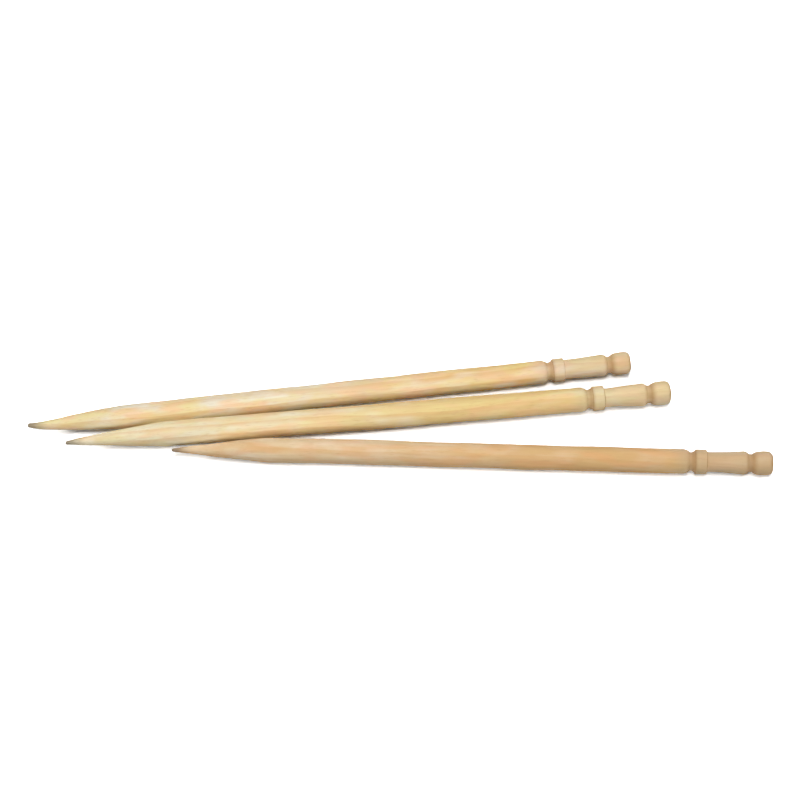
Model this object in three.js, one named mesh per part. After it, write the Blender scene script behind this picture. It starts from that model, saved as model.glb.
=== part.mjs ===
// Three turned wooden toothpicks that lie in a loose fan on a flat surface.
// Millimetres, +Z up. The points are towards -X and the turned heads towards +X.
// The rear pick lies on the +Y side of the middle one, and the front pick on the -Y side.
// Each pick is one stick, turned on a lathe: a blunt point, a taper, a plain round body
// and a head with a neck, a bead, a flared waist, a groove and a barrel knob.

import * as THREE from 'three';

// The three picks: each one's own stick, point and place in the fan.
// The taper's swell is how far its middle stands out from a straight cone. The bow and the
// hook are how far the body and the point stray sideways. The waist is in the turned head.
// The yaw is in degrees from +X, and the tip's place is along X, from the middle pick's tip.
const REAR = {
  name: 'rear_toothpick',
  length: 65.3,
  diameter: 2.6,
  tipDiameter: 0.54,
  taperLength: 10.2,
  taperSwell: 0.09,
  bow: 0.04,
  hook: 0.27,
  waistLength: 3.85,
  waistDepth: 0.21,
  yaw: 7.6,
  tipPlace: -4.17,
  color: 0xe9d2a4,
};
const MIDDLE = {
  name: 'middle_toothpick',
  length: 65.0,
  diameter: 2.74,
  tipDiameter: 0.44,
  taperLength: 10.6,
  taperSwell: 0.02,
  bow: 0.03,
  hook: -0.1,
  waistLength: 3.8,
  waistDepth: 0.33,
  yaw: 5.8,
  tipPlace: 0,
  color: 0xe8cf9a,
};
const FRONT = {
  name: 'front_toothpick',
  length: 63.6,
  diameter: 2.69,
  tipDiameter: 0.34,
  taperLength: 10.1,
  taperSwell: 0.05,
  bow: 0.29,
  hook: 0.02,
  waistLength: 3.55,
  waistDepth: 0.25,
  yaw: -1.53,
  tipPlace: 11.39,
  color: 0xd9b17c,
};

// The clear space between the middle pick and each neighbour where they come closest.
const REAR_GAP = 0.2;
const FRONT_GAP = 0.45;

// How far along the stick the point's sideways hook reaches.
const HOOK_LENGTH = 2.4;

// The turned head, from the end of the plain body to the end face.
// Each depth is measured inwards from the surface of the body.
const SHOULDER_LENGTH = 0.75;
const NECK_LENGTH = 0.15;
const NECK_DEPTH = 0.32;
const BEAD_RISE_LENGTH = 0.35;
const BEAD_LENGTH = 0.98;
const BEAD_ROUND = 0.16;
const BEAD_FALL_LENGTH = 0.3;
const FLARE_SAG = 0.03;
const COLLAR_DEPTH = 0.09;
const GROOVE_FALL_LENGTH = 0.6;
const GROOVE_LENGTH = 0.3;
const GROOVE_DEPTH = 0.39;
const KNOB_RISE_LENGTH = 0.95;
const KNOB_LENGTH = 0.7;
const KNOB_DEPTH = 0.07;
const KNOB_SWELL = 0.02;
const KNOB_ROUND = 0.57;

// The head's length without its waist, which differs from pick to pick.
const HEAD_BUT_WAIST = SHOULDER_LENGTH + NECK_LENGTH
  + BEAD_RISE_LENGTH + 2 * BEAD_ROUND + BEAD_LENGTH + BEAD_FALL_LENGTH
  + GROOVE_FALL_LENGTH + GROOVE_LENGTH
  + KNOB_RISE_LENGTH + KNOB_LENGTH + KNOB_ROUND;

// Fineness of the faceted surface. The flats round a stick touch the true round, and
// one of them faces straight down, so the stick rests on it.
const SIDES = 32;
const CURVE_STEPS = 4;
const TAPER_STEPS = 10;
const BODY_STEPS = 8;
const FLAT_TO_CORNER = 1 / Math.cos(Math.PI / SIDES);

// How finely the picks are followed and moved when they are laid side by side.
const GAP_STATIONS = 130;
const LAY_HALVINGS = 40;

const { lerp, degToRad } = THREE.MathUtils;

/** The half outline of one pick: x is the radius and y the distance from the tip. */
function pickOutline(pick) {
  const body = pick.diameter / 2;
  const tip = pick.tipDiameter / 2;
  const neck = body - NECK_DEPTH;
  const waist = body - pick.waistDepth;
  const collar = body - COLLAR_DEPTH;
  const groove = body - GROOVE_DEPTH;
  const knob = body - KNOB_DEPTH;
  const outline = new THREE.Path();
  let at = 0;
  const straight = (length, radius) => {
    at += length;
    outline.lineTo(radius, at);
  };
  const curve = (length, radius, controlAlong, controlRadius) => {
    outline.quadraticCurveTo(controlRadius, at + controlAlong, radius, at + length);
    at += length;
  };

  // Rounded point
  outline.moveTo(0, 0);
  curve(tip, tip, 0, tip);

  // Taper, which swells past a straight cone
  const coneLength = pick.taperLength - tip;
  for (let i = 1; i <= TAPER_STEPS; i++) {
    const u = i / TAPER_STEPS;
    straight(coneLength / TAPER_STEPS, lerp(tip, body, u) + 4 * pick.taperSwell * u * (1 - u));
  }

  // Plain body
  const headLength = HEAD_BUT_WAIST + pick.waistLength;
  const bodyLength = pick.length - headLength - pick.taperLength;
  for (let i = 1; i <= BODY_STEPS; i++) {
    straight(bodyLength / BODY_STEPS, body);
  }

  // Shoulder that leaves the body smoothly and falls to the neck
  curve(SHOULDER_LENGTH, neck, SHOULDER_LENGTH / 2, body);
  straight(NECK_LENGTH, neck);

  // Bead as thick as the body, with a steep side to the neck and a fillet to the waist
  straight(BEAD_RISE_LENGTH, body - BEAD_ROUND);
  curve(BEAD_ROUND, body, 0, body);
  straight(BEAD_LENGTH, body);
  curve(BEAD_ROUND, body - BEAD_ROUND, BEAD_ROUND, body);
  curve(BEAD_FALL_LENGTH, waist, 0, waist);

  // Waist that flares to its collar in a slack curve
  const slack = (waist + collar) / 2 - 2 * FLARE_SAG;
  curve(pick.waistLength, collar, pick.waistLength / 2, slack);

  // Groove between the collar and the knob
  curve(GROOVE_FALL_LENGTH, groove, GROOVE_FALL_LENGTH / 2, collar);
  straight(GROOVE_LENGTH, groove);

  // Barrel knob with a round edge and a flat end face
  curve(KNOB_RISE_LENGTH, knob, KNOB_RISE_LENGTH / 3, knob);
  curve(KNOB_LENGTH, knob, KNOB_LENGTH / 2, knob + 2 * KNOB_SWELL);
  outline.absarc(knob - KNOB_ROUND, at, KNOB_ROUND, 0, Math.PI / 2, false);
  outline.lineTo(0, at + KNOB_ROUND);
  return outline.getPoints(CURVE_STEPS);
}

/** How far the stick's centre line strays sideways at a distance from the tip. */
function strayAt(pick, along) {
  const u = along / pick.length;
  // The bow is greatest a quarter of the way along, where u (1 - u)^3 is 27/256.
  const bow = pick.bow * (256 / 27) * u * (1 - u) ** 3;
  const hook = along < HOOK_LENGTH ? pick.hook * (1 - along / HOOK_LENGTH) ** 2 : 0;
  return bow + hook;
}

/** The radius of an outline at a distance from the tip. */
function radiusAt(outline, along) {
  for (let i = 1; i < outline.length; i++) {
    const [low, high] = [outline[i - 1], outline[i]];
    if (along <= high.y && high.y > low.y) {
      return lerp(low.x, high.x, (along - low.y) / (high.y - low.y));
    }
  }
  return 0;
}

/** The stick as a solid that lies along +X from its tip at the origin. */
function pickGeometry(pick, outline) {
  const corners = outline.map((point) => new THREE.Vector2(point.x * FLAT_TO_CORNER, point.y));
  const geometry = new THREE.LatheGeometry(corners, SIDES, Math.PI / SIDES);
  geometry.rotateZ(-Math.PI / 2);
  const position = geometry.attributes.position;
  for (let i = 0; i < position.count; i++) {
    position.setY(i, position.getY(i) + strayAt(pick, position.getX(i)));
  }
  geometry.computeVertexNormals();
  return geometry;
}

/** The greatest radius of an outline, which is the height that the stick's axis lies at. */
function layHeight(outline) {
  return Math.max(...outline.map((point) => point.x));
}

/** Balls along a laid pick, each as wide as the stick is there, corners included. */
function ballsAlong(laid) {
  const balls = [];
  for (let i = 0; i <= GAP_STATIONS; i++) {
    const along = laid.pick.length * (i / GAP_STATIONS);
    const centre = new THREE.Vector3(along, strayAt(laid.pick, along), 0);
    centre.applyAxisAngle(new THREE.Vector3(0, 0, 1), degToRad(laid.pick.yaw));
    centre.add(new THREE.Vector3(laid.pick.tipPlace, laid.side, layHeight(laid.outline)));
    balls.push({ centre, radius: radiusAt(laid.outline, along) * FLAT_TO_CORNER });
  }
  return balls;
}

/** The least clear space between two laid picks. */
function leastGap(one, other) {
  const others = ballsAlong(other);
  let least = Infinity;
  for (const a of ballsAlong(one)) {
    for (const b of others) {
      least = Math.min(least, a.centre.distanceTo(b.centre) - a.radius - b.radius);
    }
  }
  return least;
}

/** Lays a pick beside another, towards +Y or -Y, until only the gap is left between them. */
function layBeside(neighbour, pick, direction, gap) {
  const laid = { pick, outline: pickOutline(pick), side: 0 };
  let near = 0;
  let far = direction * (pick.length + neighbour.pick.length);
  for (let i = 0; i < LAY_HALVINGS; i++) {
    laid.side = neighbour.side + (near + far) / 2;
    if (leastGap(neighbour, laid) < gap) {
      near = laid.side - neighbour.side;
    } else {
      far = laid.side - neighbour.side;
    }
  }
  return laid;
}

/** The named mesh of a laid pick. */
function pickMesh(laid) {
  const material = new THREE.MeshStandardMaterial({
    color: laid.pick.color,
    roughness: 0.65,
    metalness: 0,
  });
  const mesh = new THREE.Mesh(pickGeometry(laid.pick, laid.outline), material);
  mesh.name = laid.pick.name;
  mesh.position.set(laid.pick.tipPlace, laid.side, layHeight(laid.outline));
  mesh.rotation.z = degToRad(laid.pick.yaw);
  return mesh;
}

const middle = { pick: MIDDLE, outline: pickOutline(MIDDLE), side: 0 };
const rear = layBeside(middle, REAR, 1, REAR_GAP);
const front = layBeside(middle, FRONT, -1, FRONT_GAP);

// The set stands with the centre of its base at the origin.
const toothpicks = new THREE.Group();
toothpicks.add(pickMesh(middle), pickMesh(rear), pickMesh(front));
toothpicks.updateMatrixWorld(true);
const bounds = new THREE.Box3().setFromObject(toothpicks, true);
toothpicks.position.set(
  -(bounds.min.x + bounds.max.x) / 2,
  -(bounds.min.y + bounds.max.y) / 2,
  -bounds.min.z,
);
toothpicks.updateMatrixWorld(true);

export default toothpicks;
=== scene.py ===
"""Dresses three turned wooden toothpicks that lie in a loose fan on a pale table."""

import logging
import math
from dataclasses import dataclass
from enum import Enum

import bmesh
import bpy
from mathutils import Color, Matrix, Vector


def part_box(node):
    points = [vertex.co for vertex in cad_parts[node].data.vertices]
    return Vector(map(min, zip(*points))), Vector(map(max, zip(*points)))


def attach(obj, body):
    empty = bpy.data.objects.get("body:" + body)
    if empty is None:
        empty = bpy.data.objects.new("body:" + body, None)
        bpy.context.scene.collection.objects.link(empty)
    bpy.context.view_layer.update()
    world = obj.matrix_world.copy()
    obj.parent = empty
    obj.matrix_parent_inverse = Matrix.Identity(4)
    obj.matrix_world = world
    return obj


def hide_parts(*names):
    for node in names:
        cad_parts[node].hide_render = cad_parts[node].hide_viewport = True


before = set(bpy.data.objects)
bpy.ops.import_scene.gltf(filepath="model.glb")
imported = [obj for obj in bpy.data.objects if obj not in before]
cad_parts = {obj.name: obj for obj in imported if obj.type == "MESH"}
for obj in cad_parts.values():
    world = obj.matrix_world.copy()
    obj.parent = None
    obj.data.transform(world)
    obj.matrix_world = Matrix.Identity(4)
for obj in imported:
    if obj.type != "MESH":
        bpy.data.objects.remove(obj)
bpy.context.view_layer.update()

LOG = logging.getLogger("toothpicks")
MM = 0.001
X_AXIS = (1.0, 0.0, 0.0)
WHITE = (1.0, 1.0, 1.0, 1.0)

Colour = tuple[float, float, float, float]
Socket = bpy.types.NodeSocket
Piece = bpy.types.Object


def colour(code: str) -> Colour:
    """Turns a six-digit screen colour into a linear one.

    Args:
        code: The colour as #rrggbb.

    Returns:
        Red, green, blue and alpha, from 0 to 1.
    """
    screen = Color([int(code[start : start + 2], 16) / 255 for start in (1, 3, 5)])
    return (*screen.from_srgb_to_scene_linear(), 1.0)


class LayerLie(Enum):
    """How the growth layers lie in a stick: their turn about its axis, in degrees."""

    FLAT = 12.0
    RIFT = 48.0
    UPRIGHT = 78.0


class Outline:
    """The half outline of a stick, as points of distance from the tip and radius."""

    curve_steps: int = 8

    def __init__(self) -> None:
        """Starts the outline at the tip."""
        self.points: list[tuple[float, float]] = [(0.0, 0.0)]

    def line(self, length: float, radius: float) -> None:
        """Goes straight to a radius.

        Args:
            length: How far along the stick the line ends.
            radius: The radius that it ends at.
        """
        along = self.points[-1][0]
        self.points.append((along + length, radius))

    def curve(self, length: float, radius: float, control: tuple[float, float]) -> None:
        """Goes to a radius in a quadratic curve.

        Args:
            length: How far along the stick the curve ends.
            radius: The radius that it ends at.
            control: The control point's distance along from the start, and its radius.
        """
        start, start_radius = self.points[-1]
        for step in range(1, self.curve_steps + 1):
            t = step / self.curve_steps
            pull = 2 * t * (1 - t)
            self.points.append((
                start + pull * control[0] + t * t * length,
                (1 - t) ** 2 * start_radius + pull * control[1] + t * t * radius,
            ))

    def corner(self, round_radius: float) -> None:
        """Turns a quarter circle from running along the stick to running in to the axis.

        Args:
            round_radius: The radius of the quarter circle.
        """
        start, start_radius = self.points[-1]
        for step in range(1, self.curve_steps + 1):
            angle = math.pi / 2 * step / self.curve_steps
            self.points.append((
                start + round_radius * math.sin(angle),
                start_radius - round_radius * (1 - math.cos(angle)),
            ))


@dataclass(frozen=True)
class TurnedHead:
    """The knife's cuts in the head, in order from the plain body to the end face.

    Depths are measured inwards from the surface of the body.
    """

    waist_length: float
    waist_depth: float
    shoulder_length: float = 0.75 * MM
    neck_length: float = 0.15 * MM
    neck_depth: float = 0.32 * MM
    bead_rise_length: float = 0.35 * MM
    bead_length: float = 0.98 * MM
    bead_round: float = 0.16 * MM
    bead_fall_length: float = 0.3 * MM
    flare_sag: float = 0.03 * MM
    collar_depth: float = 0.09 * MM
    groove_fall_length: float = 0.6 * MM
    groove_length: float = 0.3 * MM
    groove_depth: float = 0.39 * MM
    knob_rise_length: float = 0.95 * MM
    knob_length: float = 0.7 * MM
    knob_depth: float = 0.07 * MM
    knob_swell: float = 0.02 * MM
    knob_round: float = 0.57 * MM
    bead_cut_reach: float = 0.6 * MM
    knob_cut_reach: float = 0.8 * MM

    @property
    def length(self) -> float:
        """The head's whole length."""
        return self.waist_start + self.waist_length + self.groove_fall_length + self.knob_and_groove

    @property
    def waist_start(self) -> float:
        """How far the waist starts from the end of the plain body.

        Returns:
            The distance.
        """
        neck = self.shoulder_length + self.neck_length
        bead = self.bead_rise_length + 2 * self.bead_round + self.bead_length + self.bead_fall_length
        return neck + bead

    @property
    def knob_and_groove(self) -> float:
        """The length of the groove's bottom and the knob together."""
        return self.groove_length + self.knob_rise_length + self.knob_length + self.knob_round

    def cuts(self) -> list[tuple[float, float]]:
        """Lists the narrow cuts, where shade is painted into the wood along with some knife burnish.

        Returns:
            Each cut's middle as a distance back from the end face, and how far it reaches
            either way, both in metres.
        """
        bead_foot = self.length - self.shoulder_length - self.neck_length - self.bead_rise_length / 2
        knob_foot = self.knob_and_groove - self.groove_length
        return [(bead_foot, self.bead_cut_reach), (knob_foot, self.knob_cut_reach)]

    def draw(self, outline: Outline, body: float) -> None:
        """Adds the head to an outline that has reached the end of the plain body.

        Args:
            outline: The outline to go on with.
            body: The body's radius.
        """
        neck = body - self.neck_depth
        waist = body - self.waist_depth
        collar = body - self.collar_depth
        groove = body - self.groove_depth
        knob = body - self.knob_depth
        outline.curve(self.shoulder_length, neck, (self.shoulder_length / 2, body))
        outline.line(self.neck_length, neck)
        outline.line(self.bead_rise_length, body - self.bead_round)
        outline.curve(self.bead_round, body, (0, body))
        outline.line(self.bead_length, body)
        outline.curve(self.bead_round, body - self.bead_round, (self.bead_round, body))
        outline.curve(self.bead_fall_length, waist, (0, waist))
        slack = (waist + collar) / 2 - 2 * self.flare_sag
        outline.curve(self.waist_length, collar, (self.waist_length / 2, slack))
        outline.curve(self.groove_fall_length, groove, (self.groove_fall_length / 2, collar))
        outline.line(self.groove_length, groove)
        outline.curve(self.knob_rise_length, knob, (self.knob_rise_length / 3, knob))
        outline.curve(self.knob_length, knob, (self.knob_length / 2, knob + 2 * self.knob_swell))
        outline.corner(self.knob_round)


class Graph:
    """Adds and links the nodes of one material or world."""

    # Where a Mix node keeps its two colours and its result, after those for numbers and vectors.
    first_colour: int = 6
    second_colour: int = 7
    mixed_colour: int = 2
    # The way in which a pattern is shifted.
    shift_way: Vector = Vector((1.0, 0.7, -0.4))

    def __init__(self, tree: bpy.types.NodeTree) -> None:
        """Empties a node tree and takes it over.

        Args:
            tree: The material's or world's node tree.
        """
        self.tree = tree
        tree.nodes.clear()

    def node(self, kind: str, **settings: object) -> bpy.types.Node:
        """Adds a node.

        Args:
            kind: The node's type name, without its ShaderNode beginning.
            **settings: The node's own settings.

        Returns:
            The new node.
        """
        made = self.tree.nodes.new("ShaderNode" + kind)
        for name, value in settings.items():
            setattr(made, name, value)
        return made

    def feed(self, socket: Socket, value: object) -> None:
        """Links an output to a socket, or sets the socket to a constant.

        Args:
            socket: The socket that is fed.
            value: The output or the constant.
        """
        if isinstance(value, Socket):
            self.tree.links.new(value, socket)
        else:
            socket.default_value = value

    def math(self, operation: str, first: object, second: object = 0.0) -> Socket:
        """Works out a number from one or two others.

        Args:
            operation: What is done with them.
            first: The first number.
            second: The second one, for an operation that takes two.

        Returns:
            The result.
        """
        made = self.node("Math", operation=operation)
        self.feed(made.inputs[0], first)
        self.feed(made.inputs[1], second)
        return made.outputs[0]

    def dot(self, first: Socket, second: tuple[float, float, float]) -> Socket:
        """Works out how far a vector goes in a direction.

        Args:
            first: The vector.
            second: The direction.

        Returns:
            Their dot product.
        """
        made = self.node("VectorMath", operation="DOT_PRODUCT")
        self.feed(made.inputs[0], first)
        self.feed(made.inputs[1], second)
        return made.outputs["Value"]

    def stretch(self, vector: Socket, along: float, across: float, shift: float) -> Socket:
        """Scales stick coordinates, so that a pattern on them runs with the grain.

        Args:
            vector: Coordinates in millimetres with X along the stick.
            along: How many pattern units there are to a millimetre along the stick.
            across: The same across the stick.
            shift: A shift in pattern units, which gives each stick its own pattern.

        Returns:
            The scaled coordinates.
        """
        made = self.node("Mapping")
        self.feed(made.inputs["Vector"], vector)
        made.inputs["Scale"].default_value = (along, across, across)
        made.inputs["Location"].default_value = shift * self.shift_way
        return made.outputs[0]

    def noise(self, vector: Socket, detail: float, roughness: float) -> Socket:
        """Makes a soft random pattern.

        Args:
            vector: Where the surface is, in pattern units.
            detail: How many finer patterns ride on the first.
            roughness: How strong each is beside the one before it.

        Returns:
            The pattern, from 0 to 1 with its middle at 0.5.
        """
        made = self.node("TexNoise")
        self.feed(made.inputs["Vector"], vector)
        made.inputs["Scale"].default_value = 1.0
        made.inputs["Detail"].default_value = detail
        made.inputs["Roughness"].default_value = roughness
        return made.outputs[0]

    def fade(self, value: Socket, low: float, high: float, start: float = 0.0, end: float = 1.0) -> Socket:
        """Fades smoothly between two numbers while a value goes from low to high.

        Args:
            value: What is followed.
            low: The value at which the fade starts.
            high: The value at which it ends.
            start: The result at low and below.
            end: The result at high and above.

        Returns:
            The faded number.
        """
        made = self.node("MapRange", interpolation_type="SMOOTHSTEP")
        self.feed(made.inputs["Value"], value)
        made.inputs["From Min"].default_value = low
        made.inputs["From Max"].default_value = high
        made.inputs["To Min"].default_value = start
        made.inputs["To Max"].default_value = end
        return made.outputs[0]

    def mix(self, share: Socket, first: object, second: object) -> Socket:
        """Mixes two colours.

        Args:
            share: How much of the second colour is laid over the first.
            first: The first colour.
            second: The second colour.

        Returns:
            The mixed colour.
        """
        made = self.node("Mix", data_type="RGBA")
        self.feed(made.inputs[0], share)
        self.feed(made.inputs[self.first_colour], first)
        self.feed(made.inputs[self.second_colour], second)
        return made.outputs[self.mixed_colour]


@dataclass(frozen=True)
class StickPlace:
    """Where a stick lies and where its head is cut, in metres and radians.

    Each narrow cut is a distance from the tip, and how far it reaches either way.
    """

    tip: Vector
    yaw: float
    head_start: float
    cuts: tuple[tuple[float, float], ...]


@dataclass(frozen=True)
class Grain:
    """A soft random pattern in the wood, in pattern units to a millimetre.

    It is finer across the stick than along it, and its shift sets it apart from the others.
    """

    along: float
    across: float
    shift: float = 0.0
    detail: float = 2.0
    roughness: float = 0.5

    def lay(self, graph: Graph, stick: Socket, seed: float) -> Socket:
        """Lays the pattern on a stick.

        Args:
            graph: The stick's material.
            stick: The surface's place in stick coordinates.
            seed: The shift that gives each stick its own patterns.

        Returns:
            The pattern, from 0 to 1 with its middle at 0.5.
        """
        place = graph.stretch(stick, self.along, self.across, seed + self.shift)
        return graph.noise(place, self.detail, self.roughness)


@dataclass(frozen=True)
class Tint:
    """A colour that lies over the wood where a pattern is strong.

    Its share rises from nothing to the greatest one between two strengths of the pattern.
    """

    grain: Grain
    code: str
    share: float
    strengths: tuple[float, float]

    def over(self, graph: Graph, wood: Socket, pattern: Socket) -> Socket:
        """Lays the tint over the wood.

        Args:
            graph: The stick's material.
            wood: The wood's colour without the tint.
            pattern: The tint's grain, laid on the stick.

        Returns:
            The tinted colour.
        """
        share = graph.fade(pattern, *self.strengths, 0.0, self.share)
        return graph.mix(share, wood, colour(self.code))


@dataclass(frozen=True)
class BirchFinish:
    """Turned, tumbled and unvarnished birch, with its pattern in stick coordinates.

    The wood goes from its pale colour at the point to its warm one at the head. This is partly its own
    tone and partly painted light that is brighter at the point. Distances are in millimetres, and those
    along the stick are from the tip.
    """

    name: str
    pale: str
    warm: str
    head: str
    cream: str
    flush: str
    straw: str
    layer_lie: LayerLie
    seed: float
    pale_until: float = 12.0
    warm_from: float = 44.0
    patchiness: float = 1.0
    patch_strengths: tuple[float, float] = (0.43, 0.67)

    bundles: Tint = Tint(Grain(0.05, 1.3, shift=3.0), "#e2b87e", 0.22, (0.4, 0.75))
    fibres: Tint = Tint(Grain(0.16, 7.0, detail=5.0, roughness=0.62), "#e2b87e", 0.42, (0.45, 0.8))

    layer_pitch: float = 1.15
    layer_lean: float = 0.012
    layer_waver: Grain = Grain(0.05, 0.3)
    waver_depth: float = 1.6
    late_start: float = 0.45
    late_peak: float = 0.93
    late_wood: str = "#dba868"
    late_share: float = 0.3

    pore: str = "#c89a66"
    pore_share: float = 0.3
    pore_cells: tuple[float, float] = (0.7, 7.5)
    pore_shift: float = 19.0
    pore_rim: tuple[float, float] = (0.08, 0.3)

    head_share: float = 0.3
    head_blend: tuple[float, float] = (-2.0, 1.0)
    # Painted shade in the narrow cuts of the head, along with some knife burnish.
    cut_shade_and_burnish: str = "#a8763f"
    cut_shade_and_burnish_share: float = 0.48
    end_grain: str = "#b58a58"
    end_grain_share: float = 0.75
    end_slant: tuple[float, float] = (0.3, 1.0)
    soiled: str = "#5f5241"
    soiled_share: float = 0.75
    soiled_until: float = 2.4

    bump_strength: float = 0.6
    bump_depth: float = 0.03
    pore_depth: float = 0.6
    smooth_and_rough: tuple[float, float] = (0.5, 0.72)
    rough_strengths: tuple[float, float] = (0.3, 0.8)
    shine: float = 0.3

    def patches(self) -> tuple[Tint, ...]:
        """Lists the soft patches of tint.

        Returns:
            The tints, in the order in which they lie over the wood.
        """
        tints = (
            (Grain(0.22, 0.6, shift=7.0, detail=1.0), self.cream, 0.6),
            (Grain(0.18, 0.7, shift=23.0, detail=1.0), self.straw, 0.5),
            (Grain(0.26, 0.9, shift=13.0, detail=1.0), self.flush, 0.55),
            (Grain(0.6, 1.3, shift=31.0), self.straw, 0.3),
        )
        return tuple(
            Tint(grain, code, share * self.patchiness, self.patch_strengths)
            for grain, code, share in tints
        )

    def coordinates(self, graph: Graph, lies: StickPlace) -> Socket:
        """Works out where the surface is on the straight stick.

        Args:
            graph: The stick's material.
            lies: Where the stick lies.

        Returns:
            The place in millimetres from the tip, with X along the stick.
        """
        place = graph.node("TexCoord")
        straight = graph.node("Mapping", vector_type="TEXTURE")
        graph.feed(straight.inputs["Vector"], place.outputs["Object"])
        straight.inputs["Location"].default_value = lies.tip
        straight.inputs["Rotation"].default_value = (0.0, 0.0, lies.yaw)
        straight.inputs["Scale"].default_value = (MM, MM, MM)
        return straight.outputs[0]

    def distance(self, graph: Graph, stick: Socket) -> Socket:
        """Works out how far the surface is from the tip, along the stick.

        Args:
            graph: The stick's material.
            stick: The surface's place in stick coordinates.

        Returns:
            The distance in millimetres.
        """
        parts = graph.node("SeparateXYZ")
        graph.feed(parts.inputs[0], stick)
        return parts.outputs["X"]

    def cut_across(self, graph: Graph, lies: StickPlace) -> Socket:
        """Works out how far the surface cuts across the fibres.

        Args:
            graph: The stick's material.
            lies: Where the stick lies.

        Returns:
            A share that goes from 0 on a side to 1 on an end.
        """
        facing = graph.node("TexCoord").outputs["Normal"]
        along_fibres = graph.dot(facing, (math.cos(lies.yaw), math.sin(lies.yaw), 0.0))
        return graph.fade(graph.math("ABSOLUTE", along_fibres), *self.end_slant)

    def late_layers(self, graph: Graph, stick: Socket) -> Socket:
        """Finds the thin late wood at the edge of each growth layer.

        Args:
            graph: The stick's material.
            stick: The surface's place in stick coordinates.

        Returns:
            A share that goes from 0 to 1 in the late wood.
        """
        turn = math.radians(self.layer_lie.value)
        across = graph.dot(stick, (self.layer_lean, math.cos(turn), math.sin(turn)))
        waver = self.layer_waver.lay(graph, stick, self.seed)
        depth = graph.math("ADD", across, graph.math("MULTIPLY", waver, self.waver_depth))
        layer = graph.math("FRACT", graph.math("DIVIDE", depth, self.layer_pitch))
        rise = graph.fade(layer, self.late_start, self.late_peak)
        fall = graph.fade(layer, self.late_peak, 1.0, 1.0, 0.0)
        return graph.math("MULTIPLY", rise, fall)

    def pores(self, graph: Graph, stick: Socket) -> Socket:
        """Finds the short dark dashes of the cut vessels.

        Args:
            graph: The stick's material.
            stick: The surface's place in stick coordinates.

        Returns:
            A share that goes from 0 to 1 in a dash.
        """
        cells = graph.node("TexVoronoi", feature="F1")
        place = graph.stretch(stick, *self.pore_cells, self.seed + self.pore_shift)
        graph.feed(cells.inputs["Vector"], place)
        cells.inputs["Scale"].default_value = 1.0
        return graph.fade(cells.outputs["Distance"], *self.pore_rim, 1.0, 0.0)

    def shaded_cuts(self, graph: Graph, distance: Socket, lies: StickPlace) -> Socket:
        """Finds the painted shade in the narrow cuts of the head, which also stands for some knife
        burnish.

        Args:
            graph: The stick's material.
            distance: The surface's distance from the tip.
            lies: Where the cuts are.

        Returns:
            A share that goes from 0 to 1 in the middle of a cut.
        """
        share: object = 0.0
        for middle, reach in lies.cuts:
            away = graph.math("ABSOLUTE", graph.math("SUBTRACT", distance, middle / MM))
            share = graph.math("MAXIMUM", graph.fade(away, 0.0, reach / MM, 1.0, 0.0), share)
        return share

    def wood(self, graph: Graph, stick: Socket, fibres: Socket, pores: Socket) -> Socket:
        """Mixes the colour of the clean wood, with painted light that is brighter towards the point.

        Args:
            graph: The stick's material.
            stick: The surface's place in stick coordinates.
            fibres: The grain of the fine fibres, laid on the stick.
            pores: The share of the pores.

        Returns:
            The colour.
        """
        distance = self.distance(graph, stick)
        # Paler towards the point: partly the wood's own tone, partly painted light that is brighter there.
        warm_tone_and_shade = graph.fade(distance, self.pale_until, self.warm_from)
        wood = graph.mix(warm_tone_and_shade, colour(self.pale), colour(self.warm))
        for tint in (*self.patches(), self.bundles):
            wood = tint.over(graph, wood, tint.grain.lay(graph, stick, self.seed))
        late = graph.math("MULTIPLY", self.late_layers(graph, stick), self.late_share)
        wood = graph.mix(late, wood, colour(self.late_wood))
        wood = self.fibres.over(graph, wood, fibres)
        return graph.mix(graph.math("MULTIPLY", pores, self.pore_share), wood, colour(self.pore))

    def worn_and_shaded(self, graph: Graph, wood: Socket, stick: Socket, lies: StickPlace) -> Socket:
        """Tints the turned head, paints shade with some burnish into its cuts, and tints the ends and the
        soiled point.

        Args:
            graph: The stick's material.
            wood: The colour of the clean wood.
            stick: The surface's place in stick coordinates.
            lies: Where the stick lies and where its cuts are.

        Returns:
            The colour.
        """
        distance = self.distance(graph, stick)
        head_start = lies.head_start / MM
        before, past = self.head_blend
        head = graph.fade(distance, head_start + before, head_start + past, 0.0, self.head_share)
        # Painted shade darkens the narrow cuts, along with some knife burnish.
        shaded_cuts = graph.math("MULTIPLY", self.shaded_cuts(graph, distance, lies), self.cut_shade_and_burnish_share)
        ends = graph.math("MULTIPLY", self.cut_across(graph, lies), self.end_grain_share)
        soiled = graph.fade(distance, 0.0, self.soiled_until, self.soiled_share, 0.0)
        for share, code in (
            (head, self.head),
            (shaded_cuts, self.cut_shade_and_burnish),
            (ends, self.end_grain),
            (soiled, self.soiled),
        ):
            wood = graph.mix(share, wood, colour(code))
        return wood

    def dress(self, piece: Piece, lies: StickPlace) -> None:
        """Gives a stick its wood.

        Args:
            piece: The finished stick.
            lies: Where it lies.
        """
        material = bpy.data.materials.new(self.name)
        material.use_nodes = True
        graph = Graph(material.node_tree)
        stick = self.coordinates(graph, lies)
        fibres = self.fibres.grain.lay(graph, stick, self.seed)
        pores = self.pores(graph, stick)
        wood = self.worn_and_shaded(graph, self.wood(graph, stick, fibres, pores), stick, lies)

        bump = graph.node("Bump")
        bump.inputs["Strength"].default_value = self.bump_strength
        bump.inputs["Distance"].default_value = self.bump_depth * MM
        sunk = graph.math("MULTIPLY", pores, self.pore_depth)
        graph.feed(bump.inputs["Height"], graph.math("SUBTRACT", fibres, sunk))

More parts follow.
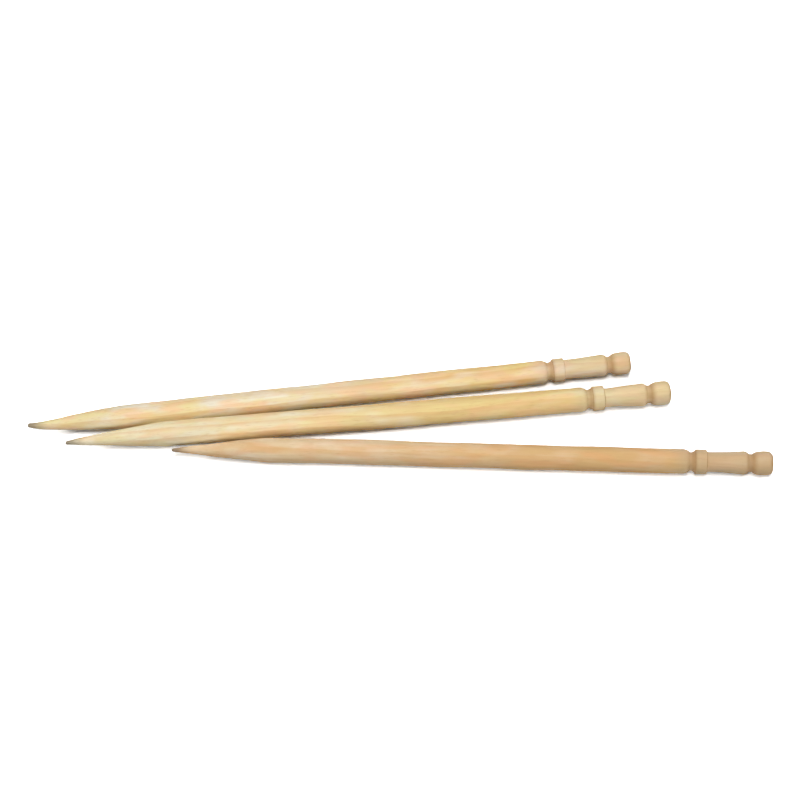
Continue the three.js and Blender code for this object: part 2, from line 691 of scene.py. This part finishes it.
        shader = graph.node("BsdfPrincipled")
        graph.feed(shader.inputs["Base Color"], wood)
        roughness = graph.fade(fibres, *self.rough_strengths, *self.smooth_and_rough)
        graph.feed(shader.inputs["Roughness"], roughness)
        graph.feed(shader.inputs["Normal"], bump.outputs[0])
        shader.inputs["Specular IOR Level"].default_value = self.shine
        output = graph.node("OutputMaterial")
        graph.feed(output.inputs["Surface"], shader.outputs[0])
        piece.data.materials.append(material)


def only(piece: Piece) -> None:
    """Selects one object and makes it the active one.

    Args:
        piece: The object.
    """
    bpy.ops.object.select_all(action="DESELECT")
    piece.select_set(True)
    bpy.context.view_layer.objects.active = piece


@dataclass(frozen=True)
class Relief:
    """An uneven relief in the surface of a stick.

    Its depth goes from the deepest cuts to the highest ridges, and its grain is the size of
    its features along and across the stick. Finer reliefs ride on it as the detail says, and
    the middle is the share of the depth that cuts in.
    """

    name: str
    depth: float
    grain: tuple[float, float]
    detail: int
    middle: float = 0.6

    def press(self, piece: Piece, seed: float) -> None:
        """Gives the relief to a stick.

        Args:
            piece: The straight stick.
            seed: The shift that gives each stick its own relief, in features.
        """
        along, across = self.grain
        bpy.ops.object.empty_add(location=(seed * along, seed * across, 0.0))
        guide = bpy.context.object
        guide.scale = (along, across, across)
        texture = bpy.data.textures.new(self.name, "CLOUDS")
        texture.noise_scale = 1.0
        texture.noise_depth = self.detail
        only(piece)
        bpy.ops.object.modifier_add(type="DISPLACE")
        relief = piece.modifiers[-1]
        relief.texture = texture
        relief.texture_coords = "OBJECT"
        relief.texture_coords_object = guide
        relief.strength = self.depth
        relief.mid_level = self.middle
        bpy.ops.object.modifier_apply(modifier=relief.name)
        bpy.data.objects.remove(guide)
        bpy.data.textures.remove(texture)


KNIFE_WAVER = Relief("knife_waver", depth=0.13 * MM, grain=(6.0 * MM, 1.6 * MM), detail=1)
RAISED_FIBRES = Relief("fibres", depth=0.04 * MM, grain=(3.2 * MM, 0.17 * MM), detail=2)


@dataclass(frozen=True)
class TurnedPick:
    """One toothpick: a stick turned on a lathe, a little bent and laid in its place."""

    name: str
    node: str
    body: str
    slot: str
    length: float
    diameter: float
    tip_diameter: float
    taper_length: float
    taper_swell: float
    bow: float
    hook: float
    yaw: float
    head: TurnedHead
    finish: BirchFinish
    hook_length: float = 2.4 * MM
    taper_steps: int = 10
    sides: int = 176
    longest_edge: float = 0.18 * MM
    merge_distance: float = 0.0001 * MM
    reliefs: tuple[Relief, ...] = (KNIFE_WAVER, RAISED_FIBRES)
    path_steps: int = 20
    path_fineness: int = 24
    smooth_below: float = math.radians(50)

    def outline(self) -> list[tuple[float, float]]:
        """Draws the half outline.

        Returns:
            Points of distance from the tip and radius, from the tip to the end face's middle.
        """
        body = self.diameter / 2
        tip = self.tip_diameter / 2
        drawn = Outline()
        drawn.curve(tip, tip, (0, tip))
        cone = self.taper_length - tip
        for step in range(1, self.taper_steps + 1):
            u = step / self.taper_steps
            # The swell is greatest halfway along, where u (1 - u) is 1/4.
            swell = 4 * self.taper_swell * u * (1 - u)
            drawn.line(cone / self.taper_steps, tip + (body - tip) * u + swell)
        drawn.line(self.length - self.head.length - self.taper_length, body)
        self.head.draw(drawn, body)
        drawn.line(0.0, 0.0)
        return drawn.points

    def stray(self, along: float) -> float:
        """Works out how far the centre line strays sideways.

        Args:
            along: The distance from the tip.

        Returns:
            How far it is to the left of the straight line, seen from the tip.
        """
        u = along / self.length
        # The bow is greatest a quarter of the way along, where u (1 - u)^3 is 27/256.
        bow = self.bow * (256 / 27) * u * (1 - u) ** 3
        if along >= self.hook_length:
            return bow
        return bow + self.hook * (1 - along / self.hook_length) ** 2

    def tip(self) -> Vector:
        """Works out where the stick's straight axis starts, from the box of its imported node.

        Returns:
            The place, in metres.
        """
        low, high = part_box(self.node)
        cos, sin = math.cos(self.yaw), math.sin(self.yaw)
        reach_x = min(
            along * cos - (self.stray(along) + side * radius) * sin
            for along, radius in self.outline()
            for side in (-1, 1)
        )
        reach_y = min(
            along * sin + (self.stray(along) - radius) * cos
            for along, radius in self.outline()
        )
        return Vector((low.x - reach_x, low.y - reach_y, (low.z + high.z) / 2))

    def turn(self) -> Piece:
        """Turns the straight stick: draws its half outline and spins it about its axis.

        Returns:
            The stick, along +X from the origin.
        """
        bpy.ops.object.select_all(action="DESELECT")
        bpy.ops.mesh.primitive_plane_add(size=self.tip_diameter, location=(0.0, 0.0, 0.0))
        piece = bpy.context.object
        piece.name = self.name
        bpy.ops.object.mode_set(mode="EDIT")
        bpy.ops.mesh.select_mode(type="VERT")
        bpy.ops.mesh.merge(type="CENTER")
        points = self.outline()
        for (start, low), (end, high) in zip(points, points[1:]):
            step = (end - start, high - low, 0.0)
            bpy.ops.mesh.extrude_region_move(TRANSFORM_OT_translate={"value": step})
        self.halve_long_edges(piece)
        bpy.ops.mesh.select_all(action="SELECT")
        bpy.ops.mesh.spin(steps=self.sides, angle=math.tau, center=(0.0, 0.0, 0.0), axis=X_AXIS)
        bpy.ops.mesh.select_all(action="SELECT")
        bpy.ops.mesh.remove_doubles(threshold=self.merge_distance)
        bpy.ops.mesh.normals_make_consistent(inside=False)
        bpy.ops.object.mode_set(mode="OBJECT")
        return piece

    def halve_long_edges(self, piece: Piece) -> None:
        """Halves the outline's edges until none is longer than the longest that is allowed.

        Args:
            piece: The outline, in edit mode.
        """
        while True:
            mesh = bmesh.from_edit_mesh(piece.data)
            bpy.ops.mesh.select_all(action="DESELECT")
            bpy.ops.mesh.select_mode(type="EDGE")
            long_edges = [edge for edge in mesh.edges if edge.calc_length() > self.longest_edge]
            if not long_edges:
                return
            for edge in long_edges:
                edge.select_set(True)
            bmesh.update_edit_mesh(piece.data)
            bpy.ops.mesh.subdivide(number_cuts=1)

    def lay(self, piece: Piece, tip: Vector) -> None:
        """Bends the straight stick along its own centre line, which lies in its place.

        Args:
            piece: The straight stick.
            tip: Where its axis starts.
        """
        bpy.ops.curve.primitive_bezier_curve_add(location=(0.0, 0.0, 0.0))
        path = bpy.context.object
        path.data.dimensions = "2D"
        path.data.resolution_u = self.path_fineness
        line = path.data.splines[0]
        line.bezier_points.add(self.path_steps - 1)
        cos, sin = math.cos(self.yaw), math.sin(self.yaw)
        for step, point in enumerate(line.bezier_points):
            along = self.length * (step / self.path_steps) ** 2
            aside = self.stray(along)
            point.handle_left_type = "AUTO"
            point.handle_right_type = "AUTO"
            point.co = (tip.x + along * cos - aside * sin, tip.y + along * sin + aside * cos, 0.0)
        only(piece)
        bpy.ops.object.modifier_add(type="CURVE")
        bend = piece.modifiers[-1]
        bend.object = path
        bpy.ops.object.modifier_apply(modifier=bend.name)
        bpy.data.objects.remove(path)
        bpy.ops.object.mode_set(mode="EDIT")
        bpy.ops.mesh.select_all(action="SELECT")
        bpy.ops.transform.translate(value=(0.0, 0.0, tip.z))
        bpy.ops.object.mode_set(mode="OBJECT")

    def build(self) -> Piece:
        """Makes the stick, dresses it and puts it on its body.

        Returns:
            The finished piece.
        """
        tip = self.tip()
        piece = self.turn()
        for relief in self.reliefs:
            relief.press(piece, self.finish.seed)
        self.lay(piece, tip)
        only(piece)
        bpy.ops.object.shade_smooth_by_angle(angle=self.smooth_below)
        cuts = tuple((self.length - back, reach) for back, reach in self.head.cuts())
        self.finish.dress(piece, StickPlace(tip, self.yaw, self.length - self.head.length, cuts))
        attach(piece, self.body)
        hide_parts(self.node)
        return piece


def direction(azimuth: float, elevation: float) -> Vector:
    """Gives the way from the object to a place around it.

    Args:
        azimuth: How far round the place is, in degrees from the front towards +X.
        elevation: How high it is, in degrees.

    Returns:
        The unit vector.
    """
    around, up = math.radians(azimuth), math.radians(elevation)
    return Vector((math.cos(up) * math.sin(around), -math.cos(up) * math.cos(around), math.sin(up)))


@dataclass(frozen=True)
class SoftLamp:
    """A square lamp that faces the object, with its place in degrees round it and up."""

    name: str
    azimuth: float
    elevation: float
    power: float
    size: float = 0.28
    distance: float = 0.7

    def hang(self) -> None:
        """Hangs the lamp."""
        back = direction(self.azimuth, self.elevation)
        bpy.ops.object.light_add(type="AREA", location=back * self.distance)
        lamp = bpy.context.object
        lamp.name = self.name
        lamp.rotation_euler = (-back).to_track_quat("-Z", "Y").to_euler()
        lamp.data.size = self.size
        lamp.data.energy = self.power


@dataclass(frozen=True)
class Studio:
    """A pale floor, soft light and the photograph's camera."""

    lens: float = 120.0
    distance: float = 286.64 * MM
    elevation: float = 54.0
    aim: tuple[float, float, float] = (0.181 * MM, 1.712 * MM, 1.3 * MM)
    sensor: float = 36.0
    clip: tuple[float, float] = (0.01, 20.0)
    floor_size: float = 4.0
    floor_bounce: float = 0.03
    floor_white: float = 2.3
    shadow_reach: tuple[float, float] = (60.0 * MM, 150.0 * MM)
    lamps: tuple[SoftLamp, ...] = (
        SoftLamp("top_lamp", azimuth=0.0, elevation=75.0, power=1.85),
        SoftLamp("front_lamp", azimuth=0.0, elevation=25.0, power=1.85),
        SoftLamp("back_lamp", azimuth=180.0, elevation=55.0, power=1.6),
        SoftLamp("head_lamp", azimuth=90.0, elevation=25.0, power=0.9),
        SoftLamp("point_lamp", azimuth=-90.0, elevation=25.0, power=0.9),
    )
    fill: float = 0.02

    def place_camera(self) -> None:
        """Sets the camera up where the photograph was taken from."""
        back = direction(0.0, self.elevation)
        bpy.ops.object.camera_add(location=Vector(self.aim) + back * self.distance)
        camera = bpy.context.object
        camera.name = "camera"
        camera.rotation_euler = (-back).to_track_quat("-Z", "Y").to_euler()
        camera.data.lens = self.lens
        camera.data.sensor_width = self.sensor
        camera.data.clip_start, camera.data.clip_end = self.clip
        bpy.context.scene.camera = camera

    def seen(self, graph: Graph) -> Socket:
        """Tells the rays that show the background from those that carry its light.

        Args:
            graph: The graph of the floor's material or of the world.

        Returns:
            1 for the rays that show it, and 0 for the others.
        """
        rays = graph.node("LightPath").outputs
        mirrored = graph.math("MAXIMUM", rays["Is Glossy Ray"], rays["Is Transmission Ray"])
        return graph.math("MAXIMUM", rays["Is Camera Ray"], mirrored)

    def lay_floor(self) -> None:
        """Lays a floor that is lit past white and keeps the dark of the object's shadow.

        Away from the object it glows by itself, because the lamps don't reach that far.
        """
        bpy.ops.mesh.primitive_plane_add(size=self.floor_size, location=(0.0, 0.0, 0.0))
        floor = bpy.context.object
        floor.name = "floor"
        material = bpy.data.materials.new("pale_floor")
        material.use_nodes = True
        graph = Graph(material.node_tree)
        place = graph.node("TexCoord").outputs["Object"]
        radius = graph.node("VectorMath", operation="LENGTH")
        graph.feed(radius.inputs[0], place)
        shadowed = graph.node("BsdfDiffuse")
        shadowed.inputs["Color"].default_value = (self.floor_white,) * 3 + (1.0,)
        glow = graph.node("Emission")
        strength = graph.fade(radius.outputs["Value"], *self.shadow_reach)
        graph.feed(glow.inputs["Strength"], strength)
        white = graph.node("AddShader")
        graph.feed(white.inputs[0], shadowed.outputs[0])
        graph.feed(white.inputs[1], glow.outputs[0])
        bounce = graph.node("BsdfDiffuse")
        bounce.inputs["Color"].default_value = (self.floor_bounce,) * 3 + (1.0,)
        shown = graph.node("MixShader")
        graph.feed(shown.inputs[0], self.seen(graph))
        graph.feed(shown.inputs[1], bounce.outputs[0])
        graph.feed(shown.inputs[2], white.outputs[0])
        output = graph.node("OutputMaterial")
        graph.feed(output.inputs["Surface"], shown.outputs[0])
        floor.data.materials.append(material)

    def fill_world(self) -> None:
        """Surrounds the scene with a weak even light and a white backdrop."""
        world = bpy.data.worlds.new("studio")
        world.use_nodes = True
        graph = Graph(world.node_tree)
        strength = graph.fade(self.seen(graph), 0.0, 1.0, self.fill, 1.0)
        glow = graph.node("Background")
        glow.inputs["Color"].default_value = WHITE
        graph.feed(glow.inputs["Strength"], strength)
        output = graph.node("OutputWorld")
        graph.feed(output.inputs["Surface"], glow.outputs[0])
        bpy.context.scene.world = world

    def build(self) -> None:
        """Sets up everything that isn't part of the object."""
        bpy.context.scene.view_settings.view_transform = "Standard"
        self.place_camera()
        for lamp in self.lamps:
            lamp.hang()
        self.lay_floor()
        self.fill_world()


REAR = TurnedPick(
    name="rear_stick",
    node="rear_toothpick",
    body="rear_pick",
    slot="rear_wood",
    length=65.3 * MM,
    diameter=2.6 * MM,
    tip_diameter=0.54 * MM,
    taper_length=10.2 * MM,
    taper_swell=0.09 * MM,
    bow=0.04 * MM,
    hook=0.27 * MM,
    yaw=math.radians(7.6),
    head=TurnedHead(waist_length=3.85 * MM, waist_depth=0.21 * MM),
    finish=BirchFinish(
        name="rear_birch",
        pale="#f2ead4",
        warm="#efc280",
        head="#cfbdb2",
        cream="#fdf3da",
        flush="#fbd0a2",
        straw="#f1dd92",
        layer_lie=LayerLie.RIFT,
        seed=1.7,
        pale_until=22.0,
        warm_from=50.0,
        patchiness=1.3,
    ),
)
MIDDLE = TurnedPick(
    name="middle_stick",
    node="middle_toothpick",
    body="middle_pick",
    slot="middle_wood",
    length=65.0 * MM,
    diameter=2.74 * MM,
    tip_diameter=0.44 * MM,
    taper_length=10.6 * MM,
    taper_swell=0.02 * MM,
    bow=0.03 * MM,
    hook=-0.1 * MM,
    yaw=math.radians(5.8),
    head=TurnedHead(waist_length=3.8 * MM, waist_depth=0.33 * MM),
    finish=BirchFinish(
        name="middle_birch",
        pale="#f8edcb",
        warm="#edce8a",
        head="#d9cfba",
        cream="#fcf3d8",
        flush="#fbd09c",
        straw="#f0de98",
        layer_lie=LayerLie.FLAT,
        seed=5.2,
    ),
)
FRONT = TurnedPick(
    name="front_stick",
    node="front_toothpick",
    body="front_pick",
    slot="front_wood",
    length=63.6 * MM,
    diameter=2.69 * MM,
    tip_diameter=0.34 * MM,
    taper_length=10.1 * MM,
    taper_swell=0.05 * MM,
    bow=0.29 * MM,
    hook=0.02 * MM,
    yaw=math.radians(-1.53),
    head=TurnedHead(waist_length=3.55 * MM, waist_depth=0.25 * MM),
    finish=BirchFinish(
        name="front_birch",
        pale="#f4dfc0",
        warm="#d9ad76",
        head="#b3b3a2",
        cream="#edd0a8",
        flush="#e8aa72",
        straw="#dcb87a",
        layer_lie=LayerLie.UPRIGHT,
        seed=9.4,
        patchiness=0.8,
    ),
)


def main() -> None:
    """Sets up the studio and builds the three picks."""
    Studio().build()
    for pick in (REAR, MIDDLE, FRONT):
        piece = pick.build()
        LOG.info("%s: %d faces on body %s", piece.name, len(piece.data.polygons), pick.body)


if __name__ == "__main__":
    logging.basicConfig(level=logging.INFO, format="%(name)s: %(message)s")
    main()
